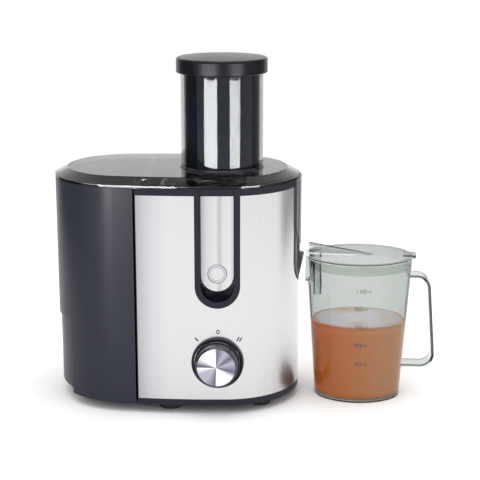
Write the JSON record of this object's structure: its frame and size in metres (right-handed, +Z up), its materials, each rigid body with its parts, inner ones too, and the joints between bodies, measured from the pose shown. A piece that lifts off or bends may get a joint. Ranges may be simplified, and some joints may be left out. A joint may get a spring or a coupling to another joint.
{
  "type": "centrifugal juicer",
  "caption": "Countertop centrifugal juicer with a steel-clad oval body, latched clear lid with a wide feed chute and pusher, rear pulp container, control dial and a lidded spouted jug.",
  "frame": {"origin": "on the motor's axis, which is the feed chute's axis too, at worktop level", "axes": "+X from the pulp container towards the jug, +Y from the control dial's side towards the back, +Z up"},
  "size_m": [0.4268, 0.1945, 0.3847],
  "materials": {
    "casing": "satin",
    "brushed": "fine brushed",
    "lid_smoke": "clear smoke tint, glossy",
    "pusher_dark": "glossy, near black",
    "jug_clear": "clear, glossy",
    "jug_lid_clear": "clear, glossy",
    "knob_black": "satin",
    "knob_metal": "spun",
    "button": "satin",
    "bowl_plastic": "satin",
    "steel_bright": "bright",
    "mesh": "etched mesh",
    "rubber": "matte",
    "iron": "laminated",
    "copper": "enamelled copper",
    "brass": "plain",
    "carbon": "graphite",
    "spring_steel": "plain steel",
    "alloy": "cast",
    "fan_plastic": "moulded",
    "board": "circuit board"
  },
  "bodies": {
    "base": {"base_housing": "casing", "steel_panel": "brushed", "base_plate": "casing", "feet": "rubber", "plate_screws": "spring_steel", "cord_gland": "rubber", "knob_bezel": "casing", "rotary_switch": "fan_plastic", "speed_board": "board", "motor_stack": "iron", "field_coils": "copper", "lower_bracket": "alloy", "upper_bracket": "alloy", "lower_bearing": "spring_steel", "upper_bearing": "spring_steel", "motor_mounts": "rubber", "motor_bolts": "spring_steel", "carbon_brushes": "carbon", "brush_holders": "brass", "shaft_seal": "rubber", "juice_bowl": "bowl_plastic", "latch_pins": "spring_steel", "interlock_switch": "fan_plastic", "interlock_spring": "spring_steel"},
    "rotor": {"motor_shaft": "spring_steel", "armature_core": "iron", "armature_windings": "copper", "commutator": "copper", "cooling_fan": "fan_plastic", "drive_coupling": "fan_plastic", "filter_basket": "steel_bright", "basket_mesh": "mesh", "grater_disc": "steel_bright"},
    "lid": {"lid": "lid_smoke"},
    "pusher": {"pusher_tube": "pusher_dark", "pusher_cap": "pusher_dark"},
    "pulp_container": {"pulp_container": "casing"},
    "front_latch": {"front_latch_arm": "casing", "front_latch_plate": "brushed"},
    "rear_latch": {"rear_latch_arm": "casing", "rear_latch_plate": "brushed"},
    "front_button": {"front_latch_button": "button"},
    "rear_button": {"rear_latch_button": "button"},
    "knob": {"knob_body": "knob_black", "knob_cap": "knob_metal"},
    "plunger": {"interlock_plunger": "fan_plastic"},
    "jug": {"jug_body": "jug_clear"},
    "jug_lid": {"jug_lid": "jug_lid_clear", "foam_separator": "jug_lid_clear"}
  },
  "joints": [
    {"name": "lid_lift", "type": "slide", "parent": "base", "child": "lid", "axis": [0, 0, 1], "range_m": [0, 0.08]},
    {"name": "front_latch_swing", "type": "hinge", "parent": "base", "child": "front_latch", "pos_m": [0.0015, -0.07396, 0.1475], "axis": [1, 0, 0], "range_deg": [0, 60.5]},
    {"name": "rear_latch_swing", "type": "hinge", "parent": "base", "child": "rear_latch", "pos_m": [0.0015, 0.07396, 0.1475], "axis": [-1, 0, 0], "range_deg": [0, 60.5]},
    {"name": "front_button_press", "type": "slide", "parent": "front_latch", "child": "front_button", "axis": [0, 1, 0], "range_m": [0, 0.0015], "stiffness_N_per_m": 800, "springref_m": -0.001},
    {"name": "rear_button_press", "type": "slide", "parent": "rear_latch", "child": "rear_button", "axis": [0, -1, 0], "range_m": [0, 0.0015], "stiffness_N_per_m": 800, "springref_m": -0.001},
    {"name": "pusher_slide", "type": "slide", "parent": "lid", "child": "pusher", "axis": [0, 0, 1], "range_m": [0, 0.13]},
    {"name": "pulp_container_slide", "type": "slide", "parent": "base", "child": "pulp_container", "axis": [-1, 0, 0], "range_m": [0, 0.12]},
    {"name": "knob_turn", "type": "hinge", "parent": "base", "child": "knob", "pos_m": [0.0015, -0.083, 0.0601], "axis": [0, 1, 0], "range_deg": [-45, 45]},
    {"name": "rotor_spin", "type": "hinge", "parent": "base", "child": "rotor", "pos_m": [0, 0, 0], "axis": [0, 0, 1], "continuous": true},
    {"name": "plunger_rise", "type": "slide", "parent": "base", "child": "plunger", "axis": [0, 0, 1], "range_m": [0, 0.00401], "deforming": ["interlock_spring"]},
    {"name": "jug_slide", "type": "slide", "parent": "base", "child": "jug", "axis": [1, 0, 0], "range_m": [0, 0.1]},
    {"name": "jug_lid_lift", "type": "slide", "parent": "jug", "child": "jug_lid", "axis": [0, 0, 1], "range_m": [0, 0.06]}
  ],
  "couplings": [
    {"joint": "front_latch_swing", "follows": "lid_lift", "rad_per_m": 13.09},
    {"joint": "rear_latch_swing", "follows": "lid_lift", "rad_per_m": 13.09},
    {"joint": "plunger_rise", "follows": "lid_lift", "ratio": 0.05}
  ]
}
